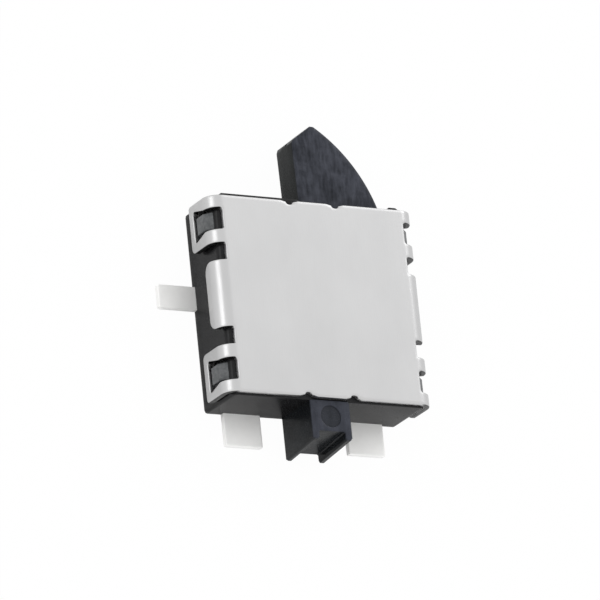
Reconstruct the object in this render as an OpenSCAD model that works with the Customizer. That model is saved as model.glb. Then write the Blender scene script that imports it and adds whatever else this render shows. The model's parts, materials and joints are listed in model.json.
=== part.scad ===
// Surface-mount detector switch: a fin-shaped lever swings on a post in a moulded
// housing, under a folded sheet-metal cover. Millimetres. The seating plane is z = 0,
// +Z leaves the cover, +Y points to the lever fin, and the origin is the centre of
// the housing's footprint.

/* [Housing] */
// Width of the moulded housing, along X
body_w = 3.52; // [3.3:0.02:3.9]
// Length of the moulded housing, along Y
body_l = 3.4; // [3.2:0.02:3.7]
// Height of the housing, from the seating plane to the underside of the cover
body_t = 1.0; // [0.96:0.01:1.2]
// Thickness of the side walls
wall_t = 0.2; // [0.14:0.01:0.24]
// Thickness of the floor
floor_t = 0.3; // [0.26:0.01:0.32]
// How far the raised stop face stands out of the wall that the fin leaves
stop_pad = 0.04; // [0.02:0.01:0.08]
// Corner radius of the cavity
cavity_r = 0.2; // [0.1:0.01:0.3]
// Running gap between the lever and the walls of the cavity
lever_gap = 0.08; // [0.06:0.01:0.12]
// Gap between the fin's flank and the end of its slot, which stops the lever
stop_gap = 0.03; // [0.02:0.005:0.05]

/* [Locating block] */
// Width of the block below the housing
block_w = 0.72; // [0.6:0.02:1]
// How far the block stands out of the housing, legs included
block_out = 0.72; // [0.5:0.02:0.9]
// How much farther the block stands out at its foot than at its front face
block_lean = 0.08; // [0:0.01:0.12]
// Width of each of the block's two legs
leg_w = 0.12; // [0.08:0.01:0.18]
// Depth of the recess between the legs
leg_out = 0.14; // [0.06:0.01:0.2]
// Height of the block's underside above the seating plane
block_lift = 0.03; // [0.02:0.01:0.1]
// Radius of the round mould mark on the block
mark_r = 0.18; // [0.1:0.01:0.25]
// Depth of the mould marks
mark_t = 0.02; // [0.01:0.005:0.04]

/* [Cover] */
// Thickness of the cover's sheet
sheet_t = 0.1; // [0.08:0.01:0.12]
// Length of the cover, along Y
cover_l = 3.34; // [3.1:0.02:3.4]
// Gap between the housing's sides and the folded sides of the cover
cover_gap = 0.04; // [0.02:0.01:0.06]
// Outside radius of the folds
bend_r = 0.25; // [0.2:0.01:0.3]
// Distance that the cuts between ears and flap run in from the cover's side
cut_in = 0.23; // [0.2:0.01:0.3]
// Length of each side's middle flap, along Y
flap_l = 1.14; // [0.9:0.02:1.3]
// Width of the gap between a flap and the ear beside it
flap_gap = 0.29; // [0.2:0.01:0.35]
// How far the middle flap reaches down from the cover's front face
flap_drop = 0.37; // [0.33:0.01:0.6]
// How far the ears reach down from the cover's front face
ear_drop = 0.72; // [0.66:0.01:0.8]
// Radius of the ear corners beside the flap
ear_r = 0.1; // [0.05:0.01:0.14]
// Radius of the other ear corners
tab_r = 0.06; // [0.03:0.01:0.1]
// Radius of the flap corners
flap_r = 0.18; // [0.04:0.01:0.2]
// Length of the window in each ear, along Y, where it crosses the fold
window_l = 0.37; // [0.34:0.01:0.42]
// How far each end of the window flares out towards its lower edge
window_flare = 0.09; // [0:0.01:0.1]
// Width of the ear's rim between its window and its outer edge
window_rim = 0.21; // [0.15:0.01:0.22]
// How far the windows reach down from the cover's front face
window_drop = 0.59; // [0.44:0.005:0.6]
// Corner radius of the windows
window_r = 0.05; // [0.03:0.01:0.08]
// Radius of the relief notches in the cover's two ends
notch_r = 0.07; // [0.05:0.01:0.12]
// Distance of the relief notches from the middle
notch_x = 0.42; // [0.3:0.02:0.6]

/* [Snap lugs] */
// Clearance between a lug and the edge of its window
lug_gap = 0.04; // [0.02:0.005:0.06]
// Flat height of a lug before its ramp
lug_land = 0.22; // [0.06:0.01:0.26]
// Distance of a lug's crest behind the outside of the cover
lug_sink = 0.02; // [0.01:0.01:0.04]

/* [Lever] */
// Distance of the pivot from the housing's left side
pivot_in_x = 0.68; // [0.64:0.01:0.7]
// Distance of the pivot from the housing's upper end
pivot_in_y = 0.78; // [0.74:0.01:0.86]
// Thickness of the lever
lever_t = 0.55; // [0.5:0.01:0.58]
// Height of the lever above the floor
lever_lift = 0.05; // [0.04:0.01:0.06]
// Distance from the pivot to the fin's shoulder
fin_reach = 2.1; // [2:0.01:2.2]
// Angle between the fin's slope and the housing's end, with the lever at rest
slope_angle = 37; // [34:1:40]
// Angle that the lever turns through until its shoulder is almost level with the end
press_angle = 41; // [30:1:42]
// Height of the shoulder above the housing's end when the lever is pressed home
press_proud = 0.03; // [0.02:0.01:0.1]
// Lean of the fin's flank
flank_lean = 1; // [0:0.5:4]
// Radius of the fin's shoulder and tip
fin_edge_r = 0.05; // [0.02:0.01:0.08]
// Radius of the pivot post
post_r = 0.16; // [0.12:0.01:0.17]
// Distance of the post's top below the cover
post_drop = 0.04; // [0.02:0.01:0.08]
// Radial running clearance of the lever's bore on the post
post_gap = 0.02; // [0.01:0.005:0.04]
// Radius of the lever's sleeve round the post, inside the spring
sleeve_r = 0.28; // [0.26:0.01:0.29]
// Gap between the sleeve and the floor
sleeve_gap = 0.02; // [0.01:0.005:0.04]
// Radius of the lever's hub above the spring
hub_r = 0.43; // [0.4:0.01:0.44]
// Height of the hub's underside above the underside of the lever
hub_lift = 0.33; // [0.32:0.01:0.36]
// Bearing, about the pivot, of the lower end of the fin's arc
arc_end = 3; // [0:1:6]
// Angle by which the lever's heel trails the wiper
heel_angle = 12; // [10:1:14]

/* [Return spring] */
// Diameter of the spring wire
wire_d = 0.06; // [0.04:0.005:0.065]
// Radius of the coil, to the middle of the wire
coil_r = 0.36; // [0.34:0.005:0.37]
// Number of full turns, besides the quarter turn between the legs
coil_turns = 4; // [2:1:4]
// Length of the leg that bears on the housing
leg_fixed_l = 0.62; // [0.4:0.02:0.7]
// Length of the leg that bears on the lever
leg_lever_l = 0.62; // [0.4:0.02:0.7]
// Gap between the coil and the floor below it or the hub above it
spring_gap = 0.01; // [0.005:0.005:0.015]
// Gap round the coil and its leg in the lever
spring_clear = 0.05; // [0.03:0.01:0.06]
// Length of the rib that the fixed leg bears on
rib_l = 0.25; // [0.15:0.01:0.35]
// Height of that rib above the floor
rib_h = 0.19; // [0.1:0.01:0.25]

/* [Contacts] */
// Thickness of the contact plates and leads
lead_t = 0.1; // [0.08:0.005:0.12]
// Width of each lead below the housing
lead_w = 0.67; // [0.5:0.01:0.8]
// Distance of those leads from the middle
lead_x = 1.13; // [1.0:0.01:1.2]
// How far they stand out of the housing
lead_out = 0.55; // [0.4:0.02:0.8]
// Width of the side lead
side_lead_w = 0.4; // [0.3:0.02:0.5]
// Position of the side lead along Y
side_lead_y = 0.23; // [0.15:0.01:0.27]
// How far the side lead stands out of the housing
side_lead_out = 0.68; // [0.4:0.02:0.9]
// Radius of the inner contact track about the pivot
track_in_r = 0.64; // [0.6:0.01:0.68]
// Radius of the outer contact track about the pivot
track_out_r = 1.56; // [1.5:0.01:1.6]
// Width of the contact tracks
track_w = 0.3; // [0.26:0.01:0.34]
// Thickness of the wiper's sheet
wiper_t = 0.05; // [0.04:0.005:0.06]
// Width of the wiper
wiper_w = 0.3; // [0.24:0.01:0.34]
// Depth of the wiper's pocket in the underside of the lever
wiper_pocket = 0.2; // [0.16:0.01:0.22]
// Clearance between the wiper and each side of its pocket
pocket_gap = 0.03; // [0.02:0.01:0.05]
// Gap between the wiper's tips and the tracks
wiper_gap = 0.01; // [0.005:0.005:0.02]
// Radius of the stakes that hold the wiper
stake_r = 0.06; // [0.04:0.005:0.07]
// How far the stakes stand out of the wiper
stake_out = 0.03; // [0.02:0.005:0.05]

/* [Hidden] */

$fn = 48;
eps = 0.01;
// Cutting solids reach this far past what they cut
far = body_w + body_l;

half_w = body_w / 2;
half_l = body_l / 2;
cavity_x = half_w - wall_t;
cavity_y = half_l - wall_t;

// Cover: outside half width, and the height of its front face
cover_x = half_w + cover_gap + sheet_t;
cover_z = body_t + sheet_t;
flap_y = flap_l / 2;
ear_y0 = flap_y + flap_gap;
ear_y1 = cover_l / 2;
window_y1 = ear_y1 - window_rim;
window_y0 = window_y1 - window_l;
flap_z = cover_z - flap_drop;
ear_z = cover_z - ear_drop;
window_z = cover_z - window_drop;
fold_z = cover_z - bend_r;
// The housing's upper side edges are rounded about the centres of the folds
edge_r = bend_r - sheet_t - cover_gap;

// Pivot, and the arc of the fin, which clears the right wall
pivot = [pivot_in_x - half_w, half_l - pivot_in_y];
fin_r = cavity_x - lever_gap - pivot[0];
lever_z0 = floor_t + lever_lift;
lever_z1 = lever_z0 + lever_t;

// The shoulder's bearing at rest follows from its height when the lever is pressed home
home_angle = asin((half_l + press_proud - pivot[1]) / fin_reach);
shoulder = around(fin_reach, home_angle + press_angle);
slope_dir = [cos(slope_angle), sin(slope_angle)];
flank_dir = [sin(flank_lean), -cos(flank_lean)];
tip = shoulder + slope_run() * slope_dir;
tip_dir = [sin(bearing(tip)), -cos(bearing(tip))];

// Slot for the fin: its left end stops the flank, its right end clears the arc
slot_x0 = flank_x(half_l) - stop_gap;
slot_x1 = arc_x(cavity_y) + lever_gap / 2;

// Contact tracks: the wiper's bearing at rest and the arcs that it sweeps
wiper_angle = -2;
track_margin = 9;
rest_track = [wiper_angle - track_margin / 2, wiper_angle + track_margin];
home_track = [wiper_angle - press_angle - track_margin, wiper_angle - press_angle + 2 * track_margin];
// The stakes' places along the wiper, as shares of the way from track to track
stake_places = [0.38, 0.62];
plate_z = floor_t - lead_t;

// Each lead runs level into the wall, then steps up to the plates' level
lead_in = 0.6 * wall_t;
lead_step = 0.8 * wall_t;
foot_y = lead_in + lead_step - half_l;

// Spring: the coil fits between the floor and the hub
hub_z = lever_z0 + hub_lift;
spring_z0 = floor_t + spring_gap + wire_d / 2;
spring_z1 = hub_z - spring_gap - wire_d / 2;

// Round marks: one on the block, three on the underside
mark_y = -half_l - 1.4 * mark_r;
ejector_r = 0.8 * mark_r;
ejector_y = 0.62 * half_l;

function around(r, a) = pivot + r * [cos(a), sin(a)];
function bearing(p) = atan2(p[1] - pivot[1], p[0] - pivot[0]);
function arc_x(y) = pivot[0] + sqrt(pow(fin_r, 2) - pow(y - pivot[1], 2));
function flank_x(y) = shoulder[0] + (shoulder[1] - y) * tan(flank_lean);

// Length of the slope, from the shoulder to the arc of the fin
function slope_run() =
    let (out = shoulder - pivot, along = out * slope_dir)
    -along + sqrt(pow(along, 2) + pow(fin_r, 2) - out * out);

// What rounding removes from a corner between two directions that leave it
module corner_cut(p, dir_a, dir_b, r) {
    half = acos(dir_a * dir_b) / 2;
    mid = (dir_a + dir_b) / norm(dir_a + dir_b);
    difference() {
        polygon([p - eps * mid, p + dir_a * r / tan(half), p + dir_b * r / tan(half)]);
        translate(p + mid * r / sin(half)) circle(r);
    }
}

module rounded_rect(x0, y0, x1, y1, r) {
    difference() {
        translate([x0, y0]) square([x1 - x0, y1 - y0]);
        corner_cut([x0, y0], [1, 0], [0, 1], r);
        corner_cut([x1, y0], [-1, 0], [0, 1], r);
        corner_cut([x0, y1], [1, 0], [0, -1], r);
        corner_cut([x1, y1], [-1, 0], [0, -1], r);
    }
}

// Extrudes a profile drawn in the XZ plane along Y
module along_y(y0, y1) {
    translate([0, y1, 0]) rotate([90, 0, 0]) linear_extrude(y1 - y0) children();
}

// Extrudes a profile drawn in the YZ plane along X
module along_x(x0, x1) {
    translate([x0, 0, 0]) rotate([90, 0, 90]) linear_extrude(x1 - x0) children();
}

module both_sides() {
    children();
    mirror([1, 0, 0]) children();
}

module both_ends() {
    children();
    mirror([0, 1, 0]) children();
}

// ---- Housing ----

// A snap lug on the right side: a flat land, then a ramp up to the housing's side
module snap_lug() {
    lug_out = cover_x - lug_sink - half_w;
    lug_z = window_z + lug_gap;
    along_y(window_y0 + lug_gap, window_y1 - lug_gap)
        translate([half_w, 0])
            polygon([[-eps, lug_z], [lug_out, lug_z], [lug_out, lug_z + lug_land],
                     [0, body_t - edge_r], [-eps, body_t - edge_r]]);
}

module locating_block() {
    half_b = block_w / 2;
    root_y = eps - half_l;
    foot_end = -half_l - block_out;
    front_end = foot_end + block_lean;
    difference() {
        along_x(-half_b, half_b)
            polygon([[root_y, block_lift], [foot_end, block_lift], [front_end, body_t], [root_y, body_t]]);
        along_x(leg_w - half_b, half_b - leg_w)
            polygon([[foot_end - eps, 0], [foot_end + leg_out, 0], [foot_end + leg_out, block_lift],
                     [front_end + leg_out, body_t], [front_end + leg_out, body_t + eps],
                     [foot_end - eps, body_t + eps]]);
        translate([0, mark_y, body_t - mark_t]) cylinder(h = far, r = mark_r);
    }
}

module shell_block() {
    along_y(-half_l, half_l) difference() {
        translate([-half_w, 0]) square([body_w, body_t]);
        both_sides() corner_cut([half_w, body_t], [-1, 0], [0, -1], edge_r);
    }
    translate([edge_r - half_w, half_l - eps, 0]) cube([body_w - 2 * edge_r, stop_pad + eps, body_t]);
}

module cavity() {
    translate([0, 0, floor_t]) linear_extrude(body_t)
        rounded_rect(-cavity_x, -cavity_y, cavity_x, cavity_y, cavity_r);
    translate([slot_x0, cavity_y - eps, floor_t])
        cube([slot_x1 - slot_x0, wall_t + stop_pad + 2 * eps, body_t]);
}

// Rib that the fixed leg of the spring bears on
module spring_rib() {
    rib_x = pivot[0] - coil_r - wire_d / 2 - eps;
    translate([-cavity_x - eps, pivot[1] - leg_fixed_l, floor_t - eps])
        cube([rib_x + cavity_x + eps, rib_l, rib_h + eps]);
}

module base_housing() {
    color([0.16, 0.16, 0.17]) difference() {
        union() {
            difference() {
                union() {
                    shell_block();
                    locating_block();
                    both_sides() both_ends() snap_lug();
                }
                cavity();
            }
            translate([pivot[0], pivot[1], floor_t - eps])
                cylinder(h = body_t - post_drop - floor_t + eps, r = post_r);
            spring_rib();
        }
        common_metal();
        closed_metal();
        open_metal();
        // Ejector marks on the underside
        for (x = [-1, 0, 1]) translate([x * half_w / 2, ejector_y, mark_t - far])
            cylinder(h = far, r = ejector_r);
    }
}

// ---- Cover ----

// Section through the folded sheet, in the XZ plane
module cover_section() {
    in_r = bend_r - sheet_t;
    difference() {
        rounded_rect(-cover_x, -far, cover_x, cover_z, bend_r);
        rounded_rect(sheet_t - cover_x, -2 * far, cover_x - sheet_t, body_t, in_r);
        translate([-far, ear_z - 2 * far]) square([2 * far, 2 * far]);
    }
}

// Window that runs from the front face over the fold, then flares out on the side of an ear
module ear_window() {
    low0 = [window_y0 - window_flare, window_z];
    low1 = [window_y1 + window_flare, window_z];
    rise = [window_flare, fold_z - window_z] / norm([window_flare, fold_z - window_z]);
    translate([0, 0, fold_z]) linear_extrude(far)
        rounded_rect(cover_x - cut_in, window_y0, far, window_y1, window_r);
    along_x(0, far) difference() {
        polygon([low0, low1, [window_y1, fold_z], [window_y1, fold_z + eps],
                 [window_y0, fold_z + eps], [window_y0, fold_z]]);
        corner_cut(low0, [1, 0], rise, window_r);
        corner_cut(low1, [-1, 0], [-rise[0], rise[1]], window_r);
    }
}

module top_cover() {
    side_x = cover_x - sheet_t - eps;
    color([0.83, 0.83, 0.83]) difference() {
        along_y(-ear_y1, ear_y1) cover_section();
        both_sides() {
            // The flap ends higher than the ears
            translate([side_x - bend_r, -flap_y - eps, flap_z - far]) cube([far, 2 * flap_y + 2 * eps, far]);
            along_x(side_x - bend_r, far) both_sides()
                corner_cut([flap_y, flap_z], [-1, 0], [0, 1], flap_r);
            both_ends() {
                translate([cover_x - cut_in, flap_y, 0]) cube([far, flap_gap, far]);
                ear_window();
                along_x(side_x, far) corner_cut([ear_y0, ear_z], [1, 0], [0, 1], ear_r);
                along_x(side_x, far) corner_cut([ear_y1, ear_z], [-1, 0], [0, 1], tab_r);
                translate([notch_x, ear_y1, 0]) cylinder(h = far, r = notch_r);
            }
        }
    }
}

// ---- Lever ----

// Outline of the lever without its hub: the fin's arc is about the pivot, and the
// outline runs in along the flank, round the sleeve and out along the heel
module lever_outline() {
    flank_y = cavity_y - fin_edge_r;
    difference() {
        intersection() {
            translate(pivot) circle(fin_r, $fn = 192);
            polygon([shoulder, shoulder + fin_r / 2 * slope_dir, around(1.3 * fin_r, 20),
                     around(1.3 * fin_r, arc_end), around(0.93 * fin_r, arc_end),
                     around(1.12 * track_out_r, wiper_angle - heel_angle),
                     around(sleeve_r, -70), pivot, around(sleeve_r, 100), [flank_x(flank_y), flank_y]]);
        }
        corner_cut(shoulder, slope_dir, flank_dir, fin_edge_r);
        corner_cut(tip, -slope_dir, tip_dir, fin_edge_r);
    }
}

// Everything that turns with the wiper is drawn on the X axis and turned to its bearing
module at_wiper() {
    translate([pivot[0], pivot[1], 0]) rotate(wiper_angle) children();
}

module stakes(r, z0, z1) {
    for (t = stake_places) at_wiper()
        translate([track_in_r + t * (track_out_r - track_in_r), 0, z0]) cylinder(h = z1 - z0, r = r);
}

module actuator_lever() {
    wiper_z = lever_z0 + wiper_pocket;
    sleeve_z = floor_t + sleeve_gap;
    coil_room = coil_r + wire_d / 2 + spring_clear;
    color([0.24, 0.26, 0.29]) difference() {
        union() {
            difference() {
                translate([0, 0, lever_z0]) linear_extrude(lever_t) lever_outline();
                // Room for the coil, its moving leg and the wiper
                translate([pivot[0], pivot[1], 0]) cylinder(h = hub_z, r = coil_room);
                translate([pivot[0], pivot[1] + coil_r - wire_d, 0])
                    cube([leg_lever_l + spring_clear, 1.5 * wire_d + eps, hub_z]);
                at_wiper() translate([track_in_r - track_w, -wiper_w / 2 - pocket_gap, 0])
                    cube([track_out_r - track_in_r + 2 * track_w, wiper_w + 2 * pocket_gap, wiper_z]);
            }
            translate([pivot[0], pivot[1], hub_z]) cylinder(h = lever_z1 - hub_z, r = hub_r);
            translate([pivot[0], pivot[1], sleeve_z]) cylinder(h = lever_z1 - sleeve_z, r = sleeve_r);
            stakes(stake_r, wiper_z - wiper_t - stake_out, wiper_z + eps);
        }
        translate([pivot[0], pivot[1], -far]) cylinder(h = 2 * far, r = post_r + post_gap);
    }
}

// ---- Return spring ----

// Path of the wire: [point, outward direction], from the fixed leg to the moving one
coil_steps = 24;
turn_total = 360 * coil_turns + 90;
step_total = ceil(turn_total / 360 * coil_steps);
function coil_point(i) =
    let (a = 180 - turn_total * i / step_total, out = [cos(a), sin(a)])
    [concat(pivot + coil_r * out, spring_z0 + (spring_z1 - spring_z0) * i / step_total), out];
wire_path = concat(
    [[[pivot[0] - coil_r, pivot[1] - leg_fixed_l, spring_z0], [-1, 0]]],
    [for (i = [0:step_total]) coil_point(i)],
    [[[pivot[0] + leg_lever_l, pivot[1] + coil_r, spring_z1], [0, 1]]]);

module return_spring() {
    sides = 8;
    rings = len(wire_path);
    points = [for (w = wire_path, s = [0:sides - 1])
        let (a = 360 * s / sides, out = wire_d / 2 * cos(a), up = wire_d / 2 * sin(a))
        w[0] + [out * w[1][0], out * w[1][1], up]];
    walls = [for (i = [0:rings - 2], s = [0:sides - 1])
        let (t = (s + 1) % sides, a = i * sides, b = a + sides)
        [a + s, b + s, b + t, a + t]];
    start = [[for (s = [0:sides - 1]) s]];
    end = [[for (s = [sides - 1:-1:0]) (rings - 1) * sides + s]];
    color([0.75, 0.75, 0.77]) polyhedron(points, concat(walls, start, end));
}

// ---- Contacts ----

module contact_wiper() {
    top = lever_z0 + wiper_pocket;
    tip_z = floor_t + wiper_gap;
    reach = track_out_r - track_in_r;
    // Length along X of each sloping arm
    rise = 0.28 * reach;
    t = wiper_t;
    color([0.85, 0.7, 0.4]) difference() {
        at_wiper() along_y(-wiper_w / 2, wiper_w / 2) translate([track_in_r, 0])
            polygon([[-t, tip_z], [t / 2, tip_z], [rise, top - t], [reach - rise, top - t],
                     [reach - t / 2, tip_z], [reach + t, tip_z], [reach + t, tip_z + t],
                     [reach, tip_z + t], [reach - rise + t / 2, top], [rise - t / 2, top],
                     [0, tip_z + t], [-t, tip_z + t]]);
        stakes(stake_r + eps / 2, 0, body_t);
    }
}

// Part of a ring about the pivot, between two bearings
module track(r, w, from, to) {
    intersection() {
        translate(pivot) difference() {
            circle(r + w / 2, $fn = 96);
            circle(r - w / 2, $fn = 96);
        }
        polygon([pivot, around(far, from), around(far, (from + to) / 2), around(far, to)]);
    }
}

// Lead that runs along -Y at the seating plane and steps up to the plates' level
module lead(w, out) {
    foot = lead_in + lead_step;
    along_x(-w / 2, w / 2)
        polygon([[-out, 0], [lead_in, 0], [foot, plate_z], [foot + lead_step, plate_z],
                 [foot + lead_step, floor_t], [foot - lead_t / 2, floor_t],
                 [lead_in - lead_t / 2, lead_t], [-out, lead_t]]);
}

module plate() {
    translate([0, 0, plate_z]) linear_extrude(lead_t) children();
}

module common_metal() {
    root_x = lead_in + lead_step - half_w;
    strip_y = side_lead_y - side_lead_w / 2;
    arm = around(track_in_r, home_track[0]);
    translate([-half_w, side_lead_y, 0]) rotate(-90) mirror([1, 0, 0]) lead(side_lead_w, side_lead_out);
    plate() {
        track(track_in_r, track_w, home_track[0], rest_track[1]);
        translate([root_x, strip_y]) square([arm[0] + track_w / 2 - root_x, side_lead_w]);
        translate([arm[0] - track_w / 2, strip_y]) square([track_w, max(side_lead_w, arm[1] - strip_y)]);
    }
}

module closed_metal() {
    strip_x = lead_x - 0.75 * track_w;
    arm = around(track_out_r, rest_track[1]);
    translate([lead_x, -half_l, 0]) lead(lead_w, lead_out);
    plate() {
        track(track_out_r, track_w, rest_track[0], rest_track[1]);
        translate([arm[0], arm[1] - track_w]) square([strip_x + track_w - arm[0], track_w]);
        translate([strip_x, foot_y]) square([track_w, arm[1] - foot_y]);
    }
}

module open_metal() {
    arm = around(track_out_r, home_track[0]);
    lead_end = -lead_x - lead_w / 2;
    translate([-lead_x, -half_l, 0]) lead(lead_w, lead_out);
    plate() {
        track(track_out_r, track_w, home_track[0], home_track[1]);
        translate([arm[0] - track_w / 2, foot_y]) square([track_w, arm[1] - foot_y]);
        translate([lead_end, foot_y]) square([arm[0] + track_w / 2 - lead_end, track_w]);
    }
}

module common_terminal() {
    color([0.78, 0.78, 0.76]) common_metal();
}

module closed_terminal() {
    color([0.78, 0.78, 0.76]) closed_metal();
}

module open_terminal() {
    color([0.78, 0.78, 0.76]) open_metal();
}

base_housing();
top_cover();
actuator_lever();
return_spring();
contact_wiper();
common_terminal();
closed_terminal();
open_terminal();
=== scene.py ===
import json
import math

import bpy
import numpy as np
from mathutils import Matrix, Vector


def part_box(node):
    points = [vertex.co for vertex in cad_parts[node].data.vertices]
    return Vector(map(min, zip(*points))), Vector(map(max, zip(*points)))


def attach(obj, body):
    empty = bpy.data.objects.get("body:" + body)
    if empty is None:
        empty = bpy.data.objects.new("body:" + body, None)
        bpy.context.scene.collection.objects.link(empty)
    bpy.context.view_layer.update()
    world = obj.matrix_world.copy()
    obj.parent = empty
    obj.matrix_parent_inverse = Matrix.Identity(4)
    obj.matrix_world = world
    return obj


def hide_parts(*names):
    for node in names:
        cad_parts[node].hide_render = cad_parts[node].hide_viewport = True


# Sizes are in mm, and points become metres when their mesh is made
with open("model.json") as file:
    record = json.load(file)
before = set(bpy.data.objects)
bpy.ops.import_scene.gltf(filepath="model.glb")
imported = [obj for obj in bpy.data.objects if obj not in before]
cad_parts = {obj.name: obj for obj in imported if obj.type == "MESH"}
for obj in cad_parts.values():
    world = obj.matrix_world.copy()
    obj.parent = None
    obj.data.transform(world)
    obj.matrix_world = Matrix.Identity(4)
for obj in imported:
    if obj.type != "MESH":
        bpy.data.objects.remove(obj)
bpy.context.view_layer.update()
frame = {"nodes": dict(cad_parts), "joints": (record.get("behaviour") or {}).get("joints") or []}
mm = 0.001
print("frame loaded:", len(frame["nodes"]), "nodes")


# How finely surfaces are drawn: the step along arcs, the share of a grid step kept clear of a border,
# the steps round a rim, the points measured at a time and the smallest length that isn't nothing
fine = dict(arc=0.006, keep=0.3, rimSteps=3, batch=3000, tiny=1e-12)

# The lever's pivot, in mm
pivot = np.array(frame["joints"][0]["pos_m"][:2]) / mm


# Unit vectors along the last axis: each vector over its length
def unit(vectors):
    return vectors / np.maximum(np.linalg.norm(vectors, axis=-1, keepdims=True), fine["tiny"])


# Place at a bearing in degrees and a distance from the pivot
def around(radius, bearing):
    turn = np.radians(bearing)
    return pivot[0] + radius * np.cos(turn), pivot[1] + radius * np.sin(turn)


# Path through corners (x, y, radius). A corner's arc starts radius * tan(half the turn) before
# it, and its points are the centre plus the radius, turned in equal steps from one side's
# direction to the next. Normals point to the right of travel, out of a counterclockwise path.
def roundPath(corners, closed=True):
    data = np.array(corners, float)
    spots, radii = data[:, :2], data[:, 2]
    into = unit(spots - np.roll(spots, 1, 0))
    onward = unit(np.roll(spots, -1, 0) - spots)
    if not closed:
        into[0], onward[-1] = onward[0], into[-1]
    turns = np.arctan2(into[:, 0] * onward[:, 1] - into[:, 1] * onward[:, 0], (into * onward).sum(1))
    points, normals = [], []
    for spot, radius, way, turn in zip(spots, radii, into, turns):
        steps = int(np.ceil(abs(turn) * radius / fine["arc"]))
        angle = turn * (np.linspace(0, 1, steps + 1) if steps else np.array([0.5]))
        right = np.stack([way[0] * np.sin(angle) + way[1] * np.cos(angle),
                          way[1] * np.sin(angle) - way[0] * np.cos(angle)], 1)
        side = np.sign(turn)
        start = spot - way * radius * math.tan(abs(turn) / 2)
        centre = start + side * radius * np.array([-way[1], way[0]])
        points.append(centre + side * radius * right if steps else spot[None])
        normals.append(right)
    return np.concatenate(points), np.concatenate(normals)


# A rectangle with round corners; as a hole it runs the other way round
def rectPath(x0, y0, x1, y1, radius, hole=False):
    corners = [(x0, y0, radius), (x1, y0, radius), (x1, y1, radius), (x0, y1, radius)]
    return roundPath(corners[::-1] if hole else corners)


# A circle; as a hole it runs the other way round
def circlePath(centre, radius, hole=False, steps=72):
    angle = np.linspace(0, 2 * np.pi, steps, endpoint=False) * (-1 if hole else 1)
    out = np.stack([np.cos(angle), np.sin(angle)], 1)
    return np.array(centre) + radius * out, -out if hole else out


# Corners (x, y, 0) along an arc about the pivot, from one bearing to another
def arcCorners(radius, start, end, steps):
    xs, ys = around(radius, np.linspace(start, end, steps))
    return [(x, y, 0) for x, y in zip(xs, ys)]


# Whether each point is inside the paths, by counting the sides that a ray to its right crosses,
# and the nearest place on them: the point's shadow on each side, held between the side's ends
def nearPaths(points, paths):
    starts = np.concatenate([path for path, _ in paths])
    ends = np.concatenate([np.roll(path, -1, 0) for path, _ in paths])
    outA = np.concatenate([normals for _, normals in paths])
    outB = np.concatenate([np.roll(normals, -1, 0) for _, normals in paths])
    sides = ends - starts
    squares = np.maximum((sides ** 2).sum(1), fine["tiny"] ** 2)
    inside, near, out, gap = [], [], [], []
    for part in np.array_split(points, max(1, len(points) // fine["batch"])):
        to = part[:, None] - starts
        share = np.clip((to * sides).sum(2) / squares, 0, 1)
        away = np.linalg.norm(to - share[..., None] * sides, axis=2)
        pick = away.argmin(1)
        t = share[np.arange(len(part)), pick][:, None]
        near.append(starts[pick] + t * sides[pick])
        out.append(unit(outA[pick] * (1 - t) + outB[pick] * t))
        gap.append(away.min(1))
        px, py = part[:, :1], part[:, 1:]
        spans = (starts[:, 1] > py) != (ends[:, 1] > py)
        rise = np.where(np.abs(sides[:, 1]) < fine["tiny"], fine["tiny"], sides[:, 1])
        cross = starts[:, 0] + (py - starts[:, 1]) * sides[:, 0] / rise
        inside.append((spans & (px < cross)).sum(1) % 2 == 1)
    return np.concatenate(inside), np.concatenate(near), np.concatenate(out), np.concatenate(gap)


# Rings of a rim from the top face to the bottom one, as (inset, share of thickness, offset): a
# quarter circle turns each edge, and a radius of 0 leaves that edge sharp
def rimRings(topR, bottomR):
    angle = np.linspace(0, np.pi / 2, fine["rimSteps"] + 1)
    quarter = lambda r: [(r * (1 - math.sin(a)), r * (1 - math.cos(a))) for a in angle] if r else [(0, 0)]
    return [(i, 0, d) for i, d in quarter(topR)] + [(i, 1, -d) for i, d in quarter(bottomR)[::-1]]


# Grid lines between stops, each stretch split evenly into steps no longer than its own
def spread(stops, steps):
    parts = [np.linspace(a, b, int(np.ceil((b - a) / s)), endpoint=False)
             for a, b, s in zip(stops[:-1], stops[1:], steps)]
    return np.concatenate(parts + [[stops[-1]]])


# Flat place: origin + u * across + v * along, and depth goes against across x along
def flatPlace(origin, across=(1, 0, 0), along=(0, 1, 0)):
    axes = np.array([across, along, np.cross(across, along)], float)
    return lambda u, v, depth: np.array(origin) + np.stack([u, v, -depth + 0 * u], 1) @ axes


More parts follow.
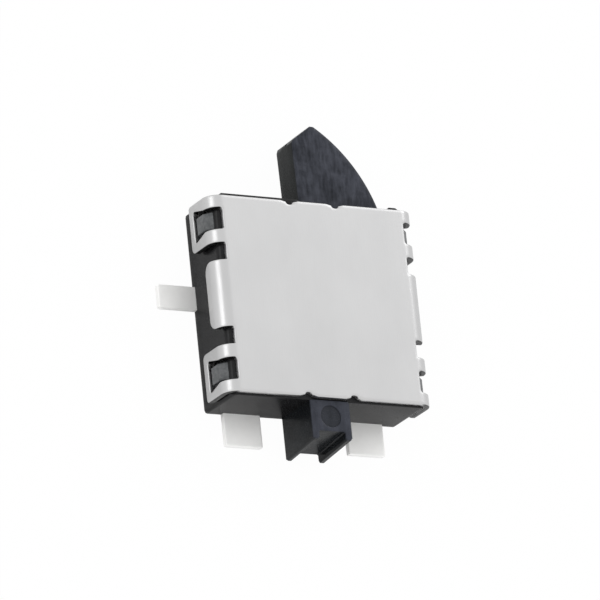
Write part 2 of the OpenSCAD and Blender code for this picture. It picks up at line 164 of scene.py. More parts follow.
# Closed sheet over the region inside the paths. Grid cells well inside are kept, their border
# slides out to the paths, and the rim's rings join the top face to the bottom one.
def sheetShell(paths, us, vs, place, thickness, rim):
    rings = rimRings(*rim)
    u, v = np.meshgrid(us, vs, indexing="ij")
    points = np.stack([u.ravel(), v.ravel()], 1)
    inside, near, out, gap = nearPaths(points, paths)
    step = min(np.diff(us).min(), np.diff(vs).min())
    kept = (inside & (gap > max(rim) + fine["keep"] * step)).reshape(u.shape)
    cell = kept[:-1, :-1] & kept[1:, :-1] & kept[1:, 1:] & kept[:-1, 1:]
    ids = np.arange(u.size).reshape(u.shape)
    quads = np.stack([ids[:-1, :-1], ids[1:, :-1], ids[1:, 1:], ids[:-1, 1:]], -1)
    beside = np.pad(cell, 1)
    others = [beside[1:-1, :-2], beside[2:, 1:-1], beside[1:-1, 2:], beside[:-2, 1:-1]]
    edges = np.concatenate([quads[cell & ~other][:, [k, (k + 1) % 4]] for k, other in enumerate(others)])
    quads = quads[cell]
    used, border = np.unique(quads), np.unique(edges)

    def level(spots, share, offset):
        thick = thickness(*spots.T) if callable(thickness) else np.full(len(spots), thickness)
        return place(spots[:, 0], spots[:, 1], share * thick + offset)

    def ring(inset, share, offset):
        return level(near[border] - inset * out[border], share, offset)

    top, bottom = level(points[used], 0, 0), level(points[used], 1, 0)
    slots = np.full(u.size, -1)
    slots[used] = np.arange(len(used))
    top[slots[border]] = ring(*rings[0])
    bottom[slots[border]] = ring(*rings[-1])
    between = [ring(*each) for each in rings[1:-1]]
    order = np.full(u.size, -1)
    order[border] = np.arange(len(border))
    first = 2 * len(used)
    index = [slots] + [first + k * len(border) + order for k in range(len(between))] + [len(used) + slots]
    a, b = edges.T
    walls = [np.stack([hi[b], hi[a], lo[a], lo[b]], 1) for hi, lo in zip(index[:-1], index[1:])]
    faces = [slots[quads], len(used) + slots[quads[:, ::-1]]] + walls
    return np.concatenate([top, bottom] + between), np.concatenate(faces)


# A flat plate in the XY plane between two heights
def plate(paths, z0, z1, step, rim=(0.0, 0.0)):
    spots = np.concatenate([path for path, _ in paths])
    low, high = spots.min(0) - step, spots.max(0) + step
    us, vs = (np.arange(a, b + step, step) for a, b in zip(low, high))
    return sheetShell(paths, us, vs, flatPlace((0, 0, z1)), z1 - z0, rim)


# Round wire: a circle about each point of the path, square to it, with both ends closed by quads
def wireShell(centres, radius, sides=12):
    along = unit(np.gradient(centres, axis=0))
    side = unit(np.cross(along, (0, 0, 1)))
    up = np.cross(side, along)
    angle = np.linspace(0, 2 * np.pi, sides, endpoint=False)[None, :, None]
    rings = centres[:, None] + radius * (np.cos(angle) * side[:, None] + np.sin(angle) * up[:, None])
    ids = np.arange(len(centres) * sides).reshape(-1, sides)
    beside = np.roll(ids, -1, 1)
    walls = np.stack([ids[:-1], ids[1:], beside[1:], beside[:-1]], -1).reshape(-1, 4)
    k = np.arange(sides // 2 - 1)
    caps = [np.stack([row[k], row[k + 1], row[-2 - k], row[-1 - k]], 1) for row in (ids[0], ids[-1][::-1])]
    return rings.reshape(-1, 3), np.concatenate([walls] + caps)


# One mesh from closed shells of quads, smooth except where faces meet at a sharp angle
def makePiece(name, shells, material, carrier, node, sharp=38):
    starts = np.cumsum([0] + [len(points) for points, _ in shells])[:-1]
    points = np.concatenate([points for points, _ in shells]) * mm
    faces = np.concatenate([part + start for (_, part), start in zip(shells, starts)])
    mesh = bpy.data.meshes.new(name)
    mesh.vertices.add(len(points))
    mesh.vertices.foreach_set("co", points.astype(np.float32).ravel())
    mesh.loops.add(faces.size)
    mesh.loops.foreach_set("vertex_index", faces.astype(np.int32).ravel())
    mesh.polygons.add(len(faces))
    mesh.polygons.foreach_set("loop_start", np.arange(0, faces.size, 4, dtype=np.int32))
    mesh.update(calc_edges=True)
    mesh.polygons.foreach_set("use_smooth", np.ones(len(faces), bool))
    mesh.set_sharp_from_angle(angle=math.radians(sharp))
    mesh.materials.append(material)
    piece = bpy.data.objects.new(name, mesh)
    bpy.context.scene.collection.objects.link(piece)
    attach(piece, carrier)
    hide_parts(node)
    print(name, "made:", len(faces), "faces")
    return piece


cover = dict(bend=0.25, sheet=0.1, cutX=1.67, flapY=0.57, flapZ=0.73, flapR=0.18, gapY=0.86, cutR=0.03,
             earR=0.1, tabR=0.06, windowY=(1.09, 1.46), flare=0.09, windowZ=0.51, windowR=0.05, flareR=0.1,
             notchX=0.42, notchR=0.068, notchCorner=0.012, notchReach=1.4, edge=0.015, step=0.018,
             plainStep=0.07)


# The folded sheet is laid out flat: u runs across it along its outside, v along Y. Its section is
# level to the fold's start, then turns by the run over the fold's radius, then goes straight down.
def coverShell(s):
    low, high = (np.array(corner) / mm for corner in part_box("top_cover"))
    flat = high[0] - s["bend"]
    down = lambda z: flat + s["bend"] * (np.pi / 2 - 1) + high[2] - z
    cutU = flat + s["bend"] * math.asin((s["cutX"] - flat) / s["bend"])
    earU, flapU, windowU = down(low[2]), down(s["flapZ"]), down(s["windowZ"])
    foldU = flat + s["bend"] * np.pi / 2
    endY = high[1]

    def foldPlace(u, v, depth):
        turn = np.clip((np.abs(u) - flat) / s["bend"], 0, np.pi / 2)
        x = np.minimum(np.abs(u), flat) + (s["bend"] - depth) * np.sin(turn)
        drop = np.maximum(np.abs(u) - flat - s["bend"] * np.pi / 2, 0)
        z = high[2] - s["bend"] + (s["bend"] - depth) * np.cos(turn) - drop
        return np.stack([np.sign(u) * x, v, z], 1)

    half = [(earU, s["gapY"], s["earR"]), (cutU, s["gapY"], s["cutR"]), (cutU, s["flapY"], s["cutR"]),
            (flapU, s["flapY"], s["flapR"])]
    right = [(earU, -endY, s["tabR"])] + [(u, -v, r) for u, v, r in half]
    right += half[::-1] + [(earU, endY, s["tabR"])]
    nip, nipR = s["notchR"], s["notchR"] - s["notchCorner"]
    notch = [(nip, 0, s["notchCorner"]), (nip, -nip, nipR), (-nip, -nip, nipR), (-nip, 0, s["notchCorner"])]
    far = [(x + dx, endY + dy, r) for x in (s["notchX"], -s["notchX"]) for dx, dy, r in notch]
    outer = right + far + [(-u, v, r) for u, v, r in right[::-1]] + [(-x, -y, r) for x, y, r in far]
    paths = [roundPath(outer)]
    y0, y1 = s["windowY"]
    window = [(cutU, y0, s["windowR"]), (cutU, y1, s["windowR"]), (foldU, y1, s["flareR"]),
              (windowU, y1 + s["flare"], s["windowR"]), (windowU, y0 - s["flare"], s["windowR"]),
              (foldU, y0, s["flareR"])]
    for side in (-1, 1):
        for end in (-1, 1):
            paths.append(roundPath([(side * u, end * v, r) for u, v, r in window[::side * end]]))
    finer, plain, near = s["step"], s["plainStep"], s["notchX"]
    reach = s["notchReach"] * nip
    us = spread([-earU - finer, -s["cutX"] + reach, -near - reach, -near + reach, near - reach,
                 near + reach, s["cutX"] - reach, earU + finer], [finer, plain, finer, plain] * 2)
    vs = spread([-endY - finer, endY + finer], [finer])
    return sheetShell(paths, us, vs, foldPlace, s["sheet"], (s["edge"], s["edge"]))


housing = dict(halfX=1.76, halfY=1.7, top=1.0, floor=0.3, skin=0.1, wall=0.2, padX=1.65, padOut=0.04,
               roofR=0.11, slot=(-0.158, 1.452), cavityR=0.2, cornerR=0.05, padR=0.02, edge=0.02,
               ejectorX=0.88, ejectorY=1.054, ejectorR=0.144, markT=0.02, rib=(-1.57, 0.3, -1.48, 0.55),
               ribTop=0.49, ribR=0.01, postR=0.16, postTop=0.96, sink=0.01, step=0.04, fineStep=0.0125)
lugs = dict(root=1.7, out=1.88, low=0.55, land=0.26, ramp=(1.73, 0.955), y=(1.13, 1.42), round=0.015,
            step=0.012)
block = dict(halfX=0.36, endY=-2.34, rootY=-1.66, low=0.03, top=1.0, cap=0.9, legX=0.24, recessY=-2.2,
             lean=0.08, markY=-1.952, markR=0.18, cornerR=0.025, edge=0.018, step=0.0125)


# The housing's underside with its round marks, its floor, its walls, its post and the spring's rib
def housingShells(s):
    hx, hy, pad = s["halfX"], s["halfY"], s["halfY"] + s["padOut"]
    cx, cy = hx - s["wall"], hy - s["wall"]
    back = [(s["padX"], hy, s["padR"]), (s["padX"], pad, s["padR"]), (-s["padX"], pad, s["padR"]),
            (-s["padX"], hy, s["padR"]), (-hx, hy, s["cornerR"])]
    front = [(-hx, -hy, s["cornerR"]), (hx, -hy, s["cornerR"]), (hx, hy, s["cornerR"])]
    slot0, slot1 = s["slot"]
    inner = [(slot1, pad, s["edge"]), (slot1, cy, s["edge"]), (cx, cy, (cx - slot1) / 2),
             (cx, -cy, s["cavityR"]), (-cx, -cy, s["cavityR"]), (-cx, cy, s["cavityR"]),
             (slot0, cy, s["edge"]), (slot0, pad, s["edge"])]
    marks = [(x * s["ejectorX"], s["ejectorY"]) for x in (-1, 0, 1)]
    us = spread([-hx - s["fineStep"], -hx + s["roofR"], hx - s["roofR"], hx + s["fineStep"]],
                [s["fineStep"], s["step"], s["fineStep"]])
    vs = spread([-hy - s["fineStep"], -hy + s["wall"], cy, pad + s["fineStep"]],
                [s["fineStep"] * 2, s["step"], s["fineStep"] * 2])
    # The top of the walls falls along a quarter circle towards both sides
    roof = lambda u, v: s["top"] - s["roofR"] + np.sqrt(
        s["roofR"] ** 2 - np.clip(np.abs(u) - hx + s["roofR"], 0, s["roofR"]) ** 2)
    wallPlace = lambda u, v, depth: np.stack([u, v, roof(u, v) - depth], 1)
    outer = roundPath(front + back)
    holes = [circlePath(mark, s["ejectorR"], hole=True) for mark in marks]
    skinPlace = flatPlace((0, 0, s["skin"]))
    shells = [
        sheetShell([outer] + holes, us, vs, skinPlace, s["skin"], (0.0, s["edge"])),
        sheetShell([outer], us, vs, flatPlace((0, 0, s["floor"])), s["floor"] - s["skin"], (0.0, 0.0)),
        sheetShell([roundPath(front + back[:2] + inner + back[2:])], us, vs, wallPlace,
                   lambda u, v: roof(u, v) - s["floor"], (s["edge"] / 2, 0.0))]
    shells += [plate([circlePath(mark, s["ejectorR"])], s["markT"], s["skin"], s["step"]) for mark in marks]
    shells.append(plate([circlePath(pivot, s["postR"])], s["floor"] - s["sink"], s["postTop"], s["edge"],
                        (s["edge"], 0.0)))
    shells.append(plate([rectPath(*s["rib"], s["ribR"])], s["floor"] - s["sink"], s["ribTop"], s["ribR"],
                        (s["ribR"], 0.0)))
    return shells


# A snap lug: a level land, then a ramp up to the housing's rounded edge, seen in X and Z
def lugShell(s, side, end):
    low, tall = s["low"], s["land"]
    rampX, rampZ = s["ramp"]
    profile = [(s["root"], low, 0), (s["out"], low, s["round"]), (s["out"], low + tall, s["round"]),
               (rampX, rampZ, s["round"]), (s["root"], housing["top"] - housing["roofR"], 0)]
    us = spread([s["root"] - s["step"], s["out"] + s["step"]], [s["step"]])
    vs = spread([low - s["step"], rampZ + s["step"]], [s["step"]])
    y0, y1 = sorted(end * y for y in s["y"])
    place = flatPlace((0, y0 if side > 0 else y1, 0), (side, 0, 0), (0, 0, 1))
    return sheetShell([roundPath(profile)], us, vs, place, y1 - y0, (s["round"], s["round"]))


# The block's outline at its front face; lower down its end stands out farther, in step with depth
def blockShells(s):
    x, leg, r = s["halfX"], s["legX"], s["cornerR"]
    outer = roundPath([(-x, s["endY"], r), (-leg, s["endY"], r), (-leg, s["recessY"], r),
                       (leg, s["recessY"], r), (leg, s["endY"], r), (x, s["endY"], r),
                       (x, s["rootY"], 0), (-x, s["rootY"], 0)])
    mark = (0, s["markY"])
    shells = [plate([outer], s["low"], s["cap"], s["step"], (0.0, s["edge"])),
              plate([outer, circlePath(mark, s["markR"], hole=True)], s["cap"], s["top"], s["step"],
                    (s["edge"], 0.0)),
              plate([circlePath(mark, s["markR"])], s["cap"], s["top"] - housing["markT"], s["step"])]
    for points, _ in shells:
        share = np.clip((s["rootY"] - points[:, 1]) / (s["rootY"] - s["recessY"]), 0, 1)
        points[:, 1] -= s["lean"] * share * (1 - points[:, 2] / s["top"])
    return shells


lever = dict(low=0.35, top=0.9, pocketTop=0.55, hubLow=0.68, finR=2.56, reach=2.1, slope=37, press=41,
             proud=0.03, lean=1, cornerR=0.05, edge=0.03, arcEnd=3, arcInset=2, neck=0.93, heelR=1.747,
             heel=-14, hubR=0.43, hubBearings=(100, 290), boreR=0.18, sleeveR=0.28, sleeveLow=0.32,
             roomR=0.44, roomBearings=(100, -70), legRoom=(0.30, 0.39, 0.67), wiper=-2, pocketOut=1.86,
             pocketHalf=0.18, pocketR=0.01, stakes=(0.99, 1.21), stakeR=0.06, stakeLow=0.47, stakeSides=36,
             stakeEdge=0.01, step=0.02, finSteps=60, hubSteps=48, roomSteps=(6, 12, 24))


# The shoulder and tip of the fin, and the flank's line, from the angle that the lever turns through
def finCorners(s):
    home = math.degrees(math.asin((housing["halfY"] + s["proud"] - pivot[1]) / s["reach"]))
    shoulder = np.array(around(s["reach"], home + s["press"]))
    slope = np.array([math.cos(math.radians(s["slope"])), math.sin(math.radians(s["slope"]))])
    off = shoulder - pivot
    run = -(off @ slope) + math.sqrt((off @ slope) ** 2 + s["finR"] ** 2 - off @ off)
    tip = shoulder + run * slope
    flank = lambda y: shoulder[0] + (shoulder[1] - y) * math.tan(math.radians(s["lean"]))
    return shoulder, tip, flank


# The lever in three layers, cut by the coil's room, the spring leg's room and the wiper's pocket,
# with its sleeve and the stakes that hold the wiper. A point of the room's circle at a given height
# above the pivot has the bearing whose sine is the height over the radius.
def leverShells(s):
    shoulder, tip, flank = finCorners(s)
    flankY = housing["halfY"] - housing["wall"] - s["cornerR"]
    tipBearing = math.degrees(math.atan2(tip[1] - pivot[1], tip[0] - pivot[0]))
    fin = [(*around(s["neck"] * s["finR"], s["arcEnd"]), s["cornerR"]),
           (*around(s["finR"], s["arcEnd"]), s["cornerR"])]
    fin += arcCorners(s["finR"], s["arcEnd"] + s["arcInset"], tipBearing - s["arcInset"], s["finSteps"])
    fin += [(*tip, s["cornerR"]), (*shoulder, s["cornerR"]), (flank(flankY), flankY, s["cornerR"])]
    heel = [(*around(s["heelR"], s["heel"]), 2 * s["cornerR"])]
    legLow, legHigh, legOut = s["legRoom"]
    roomBearing = lambda y: math.degrees(math.asin(y / s["roomR"]))
    legX = pivot[0] + legOut
    start, end = s["roomBearings"]
    few, some, many = s["roomSteps"]
    leg = arcCorners(s["roomR"], start, roomBearing(legHigh), some)
    leg += [(legX, pivot[1] + legHigh, s["pocketR"]), (legX, pivot[1] + legLow, s["pocketR"])]
    half = roomBearing(s["pocketHalf"])
    out = math.degrees(math.asin(s["pocketHalf"] / s["pocketOut"]))
    pocket = arcCorners(s["roomR"], roomBearing(legLow), s["wiper"] + half, few)
    pocket += [(*around(s["pocketOut"], s["wiper"] + out), s["pocketR"]),
               (*around(s["pocketOut"], s["wiper"] - out), s["pocketR"])]
    pocket += arcCorners(s["roomR"], s["wiper"] - half, end, some)
    room = arcCorners(s["roomR"], roomBearing(legLow), end, many)
    hub = arcCorners(s["hubR"], *s["hubBearings"], s["hubSteps"])
    bore = circlePath(pivot, s["boreR"], hole=True)
    shells = [
        plate([roundPath(fin + hub + heel), bore], s["hubLow"], s["top"], s["step"], (s["edge"], 0.0)),
        plate([roundPath(fin + leg + room + heel)], s["pocketTop"], s["hubLow"], s["step"]),
        plate([roundPath(fin + leg + pocket + heel)], s["low"], s["pocketTop"], s["step"], (0.0, s["edge"])),
        plate([circlePath(pivot, s["sleeveR"]), bore], s["sleeveLow"], s["hubLow"], s["step"])]
    stakes = [circlePath(around(r, s["wiper"]), s["stakeR"], steps=s["stakeSides"]) for r in s["stakes"]]
    return shells + [plate([stake], s["stakeLow"], s["pocketTop"], s["step"] / 2, (0.0, s["stakeEdge"]))
                     for stake in stakes]


leads = dict(thick=0.1, plate=0.2, width=0.67, x=1.13, out=0.55, sideWidth=0.4, sideY=0.23, sideOut=0.68,
             inside=0.12, rise=0.16, cornerR=0.02, edge=0.012, step=0.02, trackW=0.3, trackSteps=40,
             innerR=0.64, outerR=1.56, rest=(-6.5, 7), home=(-52, -25), proud=0.002, closedIn=0.75)


# A lead that runs level out of the housing and steps up inside its floor to the plates' level: its
# height grows in step with the length past the inside end, until the rise's length is used up
def leadShell(s, spot, inward, width, out):
    across = (inward[1], -inward[0], 0)
    end = s["inside"] + 2 * s["rise"]
    base = flatPlace((*spot, s["thick"]), across, (*inward, 0))

    def steppedPlace(u, v, depth):
        share = np.clip((v - s["inside"]) / s["rise"], 0, 1)
        return base(u, v, depth - s["plate"] * share)

    us = spread([-width / 2 - s["step"], width / 2 + s["step"]], [s["step"]])
    vs = spread([-out - s["step"], end + s["step"]], [s["step"]])
    path = rectPath(-width / 2, -out, width / 2, end, s["cornerR"])
    return sheetShell([path], us, vs, steppedPlace, s["thick"], (s["edge"], s["edge"]))


# Part of a ring about the pivot between two bearings, in the plates' level
def trackShell(s, radius, bearings):
    low, high = bearings
    r0, r1 = radius - s["trackW"] / 2, radius + s["trackW"] / 2
    path = roundPath(arcCorners(r1, low, high, s["trackSteps"]) + arcCorners(r0, high, low, s["trackSteps"]))
    return plate([path], s["plate"], housing["floor"] + s["proud"], s["step"])


# A straight strip that joins a lead to its track, just below the track's face
def stripShell(s, x0, y0, x1, y1):
    return plate([rectPath(x0, y0, x1, y1, s["cornerR"])], s["plate"], housing["floor"] + s["proud"] / 2,
                 s["step"])


# The three terminals, each a lead, a track that the wiper's toe meets and the strips between them
def terminalShells(s):
    foot = s["inside"] + s["rise"]
    hx, hy, wide = housing["halfX"], housing["halfY"], s["trackW"]
    common = [leadShell(s, (-hx, s["sideY"]), (1, 0), s["sideWidth"], s["sideOut"]),
              trackShell(s, s["innerR"], (s["home"][0], s["rest"][1])),
              stripShell(s, foot - hx, s["sideY"] - s["sideWidth"] / 2,
                         around(s["innerR"], s["home"][0])[0] + wide / 2, s["sideY"] + s["sideWidth"] / 2)]
    armX, armY = around(s["outerR"], s["rest"][1])
    stripX = s["x"] - s["closedIn"] * wide
    closed = [leadShell(s, (s["x"], -hy), (0, 1), s["width"], s["out"]),
              trackShell(s, s["outerR"], s["rest"]),
              stripShell(s, armX, armY - wide, stripX + wide, armY),
              stripShell(s, stripX, foot - hy, stripX + wide, armY)]
    armX, armY = around(s["outerR"], s["home"][0])
    opened = [leadShell(s, (-s["x"], -hy), (0, 1), s["width"], s["out"]),
              trackShell(s, s["outerR"], s["home"]),
              stripShell(s, armX - wide / 2, foot - hy, armX + wide / 2, armY),
              stripShell(s, -s["x"] - s["width"] / 2, foot - hy, armX + wide / 2, foot - hy + wide)]
    return common, closed, opened


spring = dict(wire=0.06, coilR=0.36, turns=4.25, low=0.34, high=0.64, leg=0.62, legStart=0.03, legSteps=8,
              perTurn=48)


# Coil that climbs evenly about the pivot, with a straight leg at each end along its tangent
def springShell(s):
    turn = np.linspace(0, 1, int(s["turns"] * s["perTurn"]) + 1)
    angle = np.pi - 2 * np.pi * s["turns"] * turn
    coil = np.stack([pivot[0] + s["coilR"] * np.cos(angle), pivot[1] + s["coilR"] * np.sin(angle),
                     s["low"] + (s["high"] - s["low"]) * turn], 1)
    straight = np.linspace(s["leg"], s["legStart"], s["legSteps"])[:, None]
    start = coil[0] - straight * np.array([0, 1, 0])
    end = coil[-1] + straight[::-1] * np.array([1, 0, 0])
    return wireShell(np.concatenate([start, coil, end]), s["wire"] / 2)


wiper = dict(thick=0.05, width=0.3, tip=0.31, top=0.55, inner=0.64, outer=1.56, rise=0.26, bendR=0.06,
             bearing=-2, cornerR=0.02, step=0.02, edge=0.01)


# The wiper's strip follows an open path in the plane of its length and Z, from toe to toe
def wiperShell(s):
    low, high = s["tip"] + s["thick"], s["top"]
    toe = s["thick"]
    bend, rise = s["bendR"], s["rise"]
    corners = [(s["inner"] - toe, low, 0), (s["inner"], low, bend), (s["inner"] + rise, high, bend),
               (s["outer"] - rise, high, bend), (s["outer"], low, bend), (s["outer"] + toe, low, 0)]
    bends, out = roundPath(corners, closed=False)
    run = np.concatenate([[0], np.cumsum(np.linalg.norm(np.diff(bends, axis=0), axis=1))])
    wayX, wayY = np.array(around(1, s["bearing"])) - pivot

    def stripPlace(u, v, depth):
        along, up = (np.interp(v, run, bends[:, k]) for k in (0, 1))
        outX, outZ = (np.interp(v, run, out[:, k]) for k in (0, 1))
        along, up = along + depth * outX, up + depth * outZ
        return np.stack([pivot[0] + along * wayX + u * wayY, pivot[1] + along * wayY - u * wayX, up], 1)

    half = s["width"] / 2
    us = spread([-half - s["step"], half + s["step"]], [s["step"]])
    vs = spread([-s["step"], run[-1] + s["step"]], [s["step"]])
    path = rectPath(-half, 0, half, run[-1], s["cornerR"])
    return sheetShell([path], us, vs, stripPlace, s["thick"], (s["edge"], s["edge"]))


# A material with its shader's sockets set; an underscore stands for a space in a socket's name
def newMaterial(name, **sockets):
    made = bpy.data.materials.new(name)
    made.use_nodes = True
    shader = made.node_tree.nodes["Principled BSDF"]
    for socket, value in sockets.items():
        shader.inputs[socket.replace("_", " ")].default_value = value
    return made, made.node_tree, shader


# What all surfaces share: the noise's fineness for broad tones, for mottle and for grain, how much its
# finer layers weigh, and the range of its values that a mottle or streak is stretched over
grainy = dict(tones=3.0, mottle=4.0, grain=2.0, weight=0.55, contrast=(0.35, 0.65))


# Noise on Object coordinates; the size is the width of one patch, in mm, along X, Y and Z
def patches(tree, size, detail=grainy["tones"]):
    nodes, links = tree.nodes, tree.links
    place = nodes.new("ShaderNodeTexCoord")
    mapping = nodes.new("ShaderNodeMapping")
    mapping.inputs["Scale"].default_value = [1 / (mm * each) for each in size]
    noise = nodes.new("ShaderNodeTexNoise")
    noise.inputs["Scale"].default_value = 1
    noise.inputs["Detail"].default_value = detail
    noise.inputs["Roughness"].default_value = grainy["weight"]
    links.new(place.outputs["Object"], mapping.inputs["Vector"])
    links.new(mapping.outputs["Vector"], noise.inputs["Vector"])
    return noise.outputs["Fac"]


# Value that runs from low to high while another goes from start to stop; the usual stretch is the
# middle of a noise's range
def between(tree, value, low, high, start=0.3, stop=0.7):
    node = tree.nodes.new("ShaderNodeMapRange")
    for socket, number in (("From Min", start), ("From Max", stop), ("To Min", low), ("To Max", high)):
        node.inputs[socket].default_value = number
    tree.links.new(value, node.inputs["Value"])
    return node.outputs["Result"]


# Blend of two colours, fixed or made by nodes: the first where the value is 0, the second where it is 1
def twoColours(tree, value, dark, light):
    node = tree.nodes.new("ShaderNodeMix")
    node.data_type = "RGBA"
    for socket, colour in ((node.inputs[6], dark), (node.inputs[7], light)):
        if isinstance(colour, tuple):
            socket.default_value = (*colour, 1)
        else:
            tree.links.new(colour, socket)
    tree.links.new(value, node.inputs[0])
    return node.outputs[2]


# One part of the Object coordinates, in metres, or of the surface's normal
def objectAxis(tree, axis, kind="Object"):
    place = tree.nodes.new("ShaderNodeTexCoord")
    split = tree.nodes.new("ShaderNodeSeparateXYZ")
    tree.links.new(place.outputs[kind], split.inputs[0])
    return split.outputs[axis]


# A sum on numbers or on what other nodes give
def maths(tree, operation, *values):
    node = tree.nodes.new("ShaderNodeMath")
    node.operation = operation
    for value, socket in zip(values, node.inputs):
        if isinstance(value, float):
            socket.default_value = value
        else:
            tree.links.new(value, socket)
    return node.outputs[0]


def magnitude(tree, value):
    return maths(tree, "ABSOLUTE", value)


# Half of one value and half of another
def mean(tree, first, second):
    node = tree.nodes.new("ShaderNodeMix")
    node.inputs[0].default_value = 0.5
    tree.links.new(first, node.inputs[2])
    tree.links.new(second, node.inputs[3])
    return node.outputs[0]


# Relief in the shader's normal, where the value times the height, in mm, is how far it stands out
def addBump(tree, shader, value, height):
    node = tree.nodes.new("ShaderNodeBump")
    node.inputs["Strength"].default_value = 1
    node.inputs["Distance"].default_value = height * mm
    tree.links.new(value, node.inputs["Height"])
    tree.links.new(node.outputs["Normal"], shader.inputs["Normal"])


coverFinish = dict(dark=(0.552, 0.552, 0.554), light=(0.582, 0.582, 0.584), cloud=(0.9, 1.6, 0.9),
                   grain=(0.012, 0.25, 0.012), rough=(0.3, 0.37), grainHeight=0.0006,
                   paintedEdgeShade=(0.05, 0.05, 0.051), paintedShadeTurn=(0.5, 0.85), cutX=(1.66, 1.72))


# Rolled sheet: broad clouds of tone, and a grain that runs along Y in roughness and height; the cut
# edges that face along Y, outside cutX, are painted dark: painted shade for the shadowed floor they mirror
def coverMaterial(s):
    made, tree, shader = newMaterial("rolledCoverSheet", Metallic=1.0)
    clouds = between(tree, patches(tree, s["cloud"]), 0, 1)
    sheet = twoColours(tree, clouds, s["dark"], s["light"])
    turned = between(tree, magnitude(tree, objectAxis(tree, "Y", "Normal")), 0, 1, *s["paintedShadeTurn"])
    outside = between(tree, magnitude(tree, objectAxis(tree, "X")), 0, 1, *(mm * x for x in s["cutX"]))
    # Painted shade: the cut edges that face along Y, outside cutX, are darkened in colour
    cut = maths(tree, "MULTIPLY", turned, outside)
    tree.links.new(twoColours(tree, cut, sheet, s["paintedEdgeShade"]), shader.inputs["Base Color"])
    grain = patches(tree, s["grain"], grainy["grain"])
    tree.links.new(between(tree, grain, *s["rough"]), shader.inputs["Roughness"])
    addBump(tree, shader, grain, s["grainHeight"])
    return made


housingFinish = dict(side=((0.005, 0.005, 0.0055), (0.01, 0.01, 0.011)), mottle=(0.16, 0.16, 0.16),
                     rough=(0.2, 0.3), pores=(0.02, 0.02, 0.02), poreHeight=0.0006, specular=0.22)
# The block's face colour, above faceZ, is painted light: a paler, bluish top lit from above, over the dark
# plastic of its sides
blockFinish = dict(side=((0.005, 0.006, 0.007), (0.01, 0.012, 0.014)),
                   face=((0.024, 0.027, 0.036), (0.05, 0.054, 0.07)), faceZ=(0.965, 1.0),
                   streak=(0.1, 0.3, 0.3), mottle=(0.2, 0.2, 0.2), rough=(0.2, 0.3),
                   pores=(0.02, 0.02, 0.02), poreHeight=0.0006, specular=0.16)
# Painted highlight: the lugs' tone is made lighter than the housing's plastic to stand for the bright
# reflection on their ramps
lugFinish = dict(side=((0.07, 0.075, 0.078), (0.125, 0.129, 0.133)), mottle=(0.05, 0.05, 0.05),
                 rough=(0.35, 0.45), pores=(0.02, 0.02, 0.02), poreHeight=0.0008, specular=0.3)
# The lever's face colour, above faceZ, is painted light: its lit front is paler than its flank, which keeps
# the plastic's own dark tone
leverFinish = dict(side=((0.002, 0.003, 0.003), (0.005, 0.007, 0.007)),
                   face=((0.006, 0.008, 0.013), (0.052, 0.056, 0.072)), faceZ=(0.87, 0.895),
                   streak=(0.07, 0.3, 0.3), mottle=(0.26, 0.2, 0.2), rough=(0.24, 0.36),
                   pores=(0.018, 0.018, 0.018), poreHeight=0.001, specular=0.18)


# Moulded plastic: a mottled tone and fine pores; where the piece has a face colour, the tone above faceZ
# turns to a paler painted highlight of the light from above, with the plastic's own mottle and streaks along
# Y
def mouldedMaterial(name, s):
    made, tree, shader = newMaterial(name, Specular_IOR_Level=s["specular"])
    mottle = between(tree, patches(tree, s["mottle"], grainy["mottle"]), 0, 1, *grainy["contrast"])
    tone = twoColours(tree, mottle, *s["side"])
    # Painted light: the same plastic is drawn paler on the face that takes the light from above
    if "face" in s:
        streak = between(tree, patches(tree, s["streak"]), 0, 1, *grainy["contrast"])
        face = twoColours(tree, mean(tree, mottle, streak), *s["face"])
        share = between(tree, objectAxis(tree, "Z"), 0, 1, *(mm * z for z in s["faceZ"]))
        tone = twoColours(tree, share, tone, face)
    tree.links.new(tone, shader.inputs["Base Color"])
    pores = patches(tree, s["pores"], grainy["grain"])
    tree.links.new(between(tree, pores, *s["rough"]), shader.inputs["Roughness"])
    addBump(tree, shader, pores, s["poreHeight"])
    return made


tinFinish = dict(metallic=0.15, dark=(0.92, 0.918, 0.905), light=(0.98, 0.978, 0.965),
                 patch=(0.25, 0.25, 0.25), rough=(0.4, 0.5), ripple=(0.05, 0.05, 0.05), rippleHeight=0.0008)
springFinish = dict(metallic=1.0, dark=(0.5, 0.5, 0.51), light=(0.62, 0.62, 0.63), patch=(0.1, 0.1, 0.1),
                    rough=(0.2, 0.3), ripple=(0.02, 0.02, 0.02), rippleHeight=0.0004)
wiperFinish = dict(metallic=1.0, dark=(0.6, 0.43, 0.2), light=(0.74, 0.56, 0.29), patch=(0.15, 0.15, 0.15),
                   rough=(0.22, 0.34), ripple=(0.02, 0.1, 0.02), rippleHeight=0.0005)


# Plated or drawn metal: patches of tone, and a low ripple in the plating
def metalMaterial(name, s):
    made, tree, shader = newMaterial(name, Metallic=s["metallic"])
    tone = between(tree, patches(tree, s["patch"]), 0, 1)
    tree.links.new(twoColours(tree, tone, s["dark"], s["light"]), shader.inputs["Base Color"])
    ripple = patches(tree, s["ripple"], grainy["grain"])
    tree.links.new(between(tree, ripple, *s["rough"]), shader.inputs["Roughness"])
    addBump(tree, shader, ripple, s["rippleHeight"])
    return made


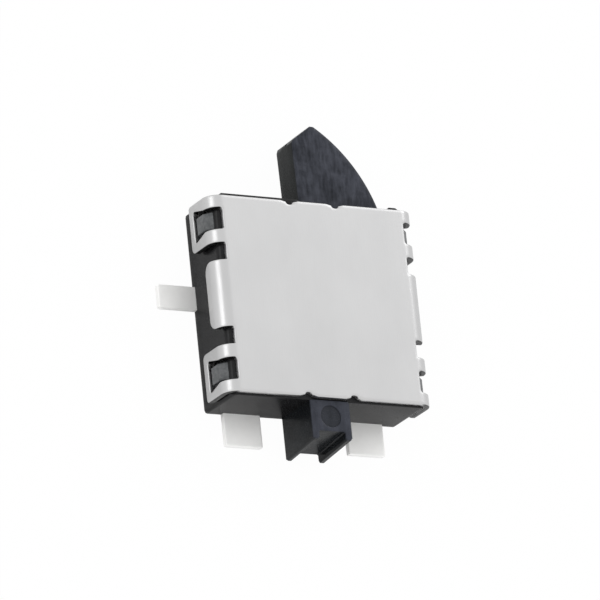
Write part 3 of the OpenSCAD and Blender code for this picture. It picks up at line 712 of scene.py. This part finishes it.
tin = metalMaterial("tinPlate", tinFinish)
makePiece("coverSheet", [coverShell(cover)], coverMaterial(coverFinish), "switch_body", "top_cover")
makePiece("mouldedHousing", housingShells(housing), mouldedMaterial("blackMoulding", housingFinish),
          "switch_body", "base_housing")
makePiece("locatingBlock", blockShells(block), mouldedMaterial("paintedLitMoulding", blockFinish),
          "switch_body", "base_housing")
makePiece("snapLugs", [lugShell(lugs, side, end) for side in (-1, 1) for end in (-1, 1)],
          mouldedMaterial("paintedSheenMoulding", lugFinish), "switch_body", "base_housing")
makePiece("leverFin", leverShells(lever), mouldedMaterial("greyMoulding", leverFinish), "lever_body",
          "actuator_lever")
for name, node, parts in zip(("commonLead", "closedLead", "openLead"),
                             ("common_terminal", "closed_terminal", "open_terminal"), terminalShells(leads)):
    makePiece(name, parts, tin, "switch_body", node)
makePiece("coilSpring", [springShell(spring)], metalMaterial("springWire", springFinish), "switch_body",
          "return_spring")
makePiece("wiperStrip", [wiperShell(wiper)], metalMaterial("wiperAlloy", wiperFinish), "lever_body",
          "contact_wiper")


# The floor's half width and its drop below the part, in metres, and its shares of plain white
stage = dict(size=1.0, drop=0.00001, albedo=0.9, cameraWhite=0.97, glossWhite=0.06, worldLight=1.0)


# White floor: a share of it is plain white to the camera, a smaller share to gloss, and the rest is
# matte and takes the shadow
def makeFloor(s):
    mesh = bpy.data.meshes.new("floor")
    half = s["size"]
    corners = [(-half, -half), (half, -half), (half, half), (-half, half)]
    mesh.from_pydata([(x, y, -s["drop"]) for x, y in corners], [], [(0, 1, 2, 3)])
    floor = bpy.data.objects.new("floor", mesh)
    bpy.context.scene.collection.objects.link(floor)
    made = bpy.data.materials.new("whiteFloor")
    made.use_nodes = True
    tree = made.node_tree
    nodes, links = tree.nodes, tree.links
    nodes.clear()
    light = nodes.new("ShaderNodeEmission")
    matte = nodes.new("ShaderNodeBsdfDiffuse")
    matte.inputs["Color"].default_value = (s["albedo"],) * 3 + (1,)
    mix = nodes.new("ShaderNodeMixShader")
    gloss = maths(tree, "MULTIPLY", raysOf(tree, "Is Glossy Ray", "Is Transmission Ray"), s["glossWhite"])
    camera = maths(tree, "MULTIPLY", raysOf(tree, "Is Camera Ray"), s["cameraWhite"])
    links.new(maths(tree, "MAXIMUM", camera, gloss), mix.inputs["Fac"])
    links.new(matte.outputs[0], mix.inputs[1])
    links.new(light.outputs[0], mix.inputs[2])
    links.new(mix.outputs[0], nodes.new("ShaderNodeOutputMaterial").inputs["Surface"])
    mesh.materials.append(made)


# 1 for rays of the named kinds, 0 for the rest
def raysOf(tree, *kinds):
    path = tree.nodes.new("ShaderNodeLightPath")
    total = path.outputs[kinds[0]]
    for kind in kinds[1:]:
        total = maths(tree, "MAXIMUM", total, path.outputs[kind])
    return total


# Plain white all round, as strong as white itself
def makeWorld(s):
    world = bpy.data.worlds.new("whiteStudio")
    bpy.context.scene.world = world
    world.use_nodes = True
    background = world.node_tree.nodes["Background"]
    background.inputs["Color"].default_value = (1, 1, 1, 1)
    background.inputs["Strength"].default_value = s["worldLight"]


# Where each lamp stands from the origin, and its distance and width in metres
lamps = dict(left=dict(way=(-0.82, 0.32, 0.476), away=0.06, size=0.027, radiance=1.26),
             above=dict(way=(0.62, 0.55, 0.56), away=0.08, size=0.03, radiance=2.0))


# Square lamp that faces the origin; its power is its radiance times its area times pi
def makeLamp(name, s):
    light = bpy.data.lights.new(name, "AREA")
    light.shape = "SQUARE"
    light.size = s["size"]
    light.energy = s["radiance"] * s["size"] ** 2 * math.pi
    lamp = bpy.data.objects.new(name, light)
    bpy.context.scene.collection.objects.link(lamp)
    way = Vector(s["way"]).normalized()
    turn = way.to_track_quat("Z", "Y").to_matrix().to_4x4()
    lamp.matrix_world = Matrix.Translation(way * s["away"]) @ turn


# The camera looks back along its way to the aim, at a distance, and sees a width there, in mm
view = dict(back=(-0.4758, -0.3197, 0.8197), up=(-0.071, 0.943, 0.3266), aim=(0.1606, 0.352), away=125.2,
            width=9.745, clip=(0.001, 10))


def makeCamera(s):
    back = Vector(s["back"]).normalized()
    right = Vector(s["up"]).cross(back).normalized()
    up = back.cross(right)
    data = bpy.data.cameras.new("camera")
    data.lens = data.sensor_width * s["away"] / s["width"]
    data.clip_start, data.clip_end = s["clip"]
    camera = bpy.data.objects.new("camera", data)
    bpy.context.scene.collection.objects.link(camera)
    spot = (right * s["aim"][0] + up * s["aim"][1] + back * s["away"]) * mm
    turn = Matrix((right, up, back)).transposed().to_4x4()
    camera.matrix_world = Matrix.Translation(spot) @ turn
    bpy.context.scene.camera = camera


makeFloor(stage)
makeWorld(stage)
for name, settings in lamps.items():
    makeLamp(name, settings)
makeCamera(view)
bpy.context.scene.view_settings.view_transform = "Standard"
print("stage, lights and camera set")

bpy.context.view_layer.update()
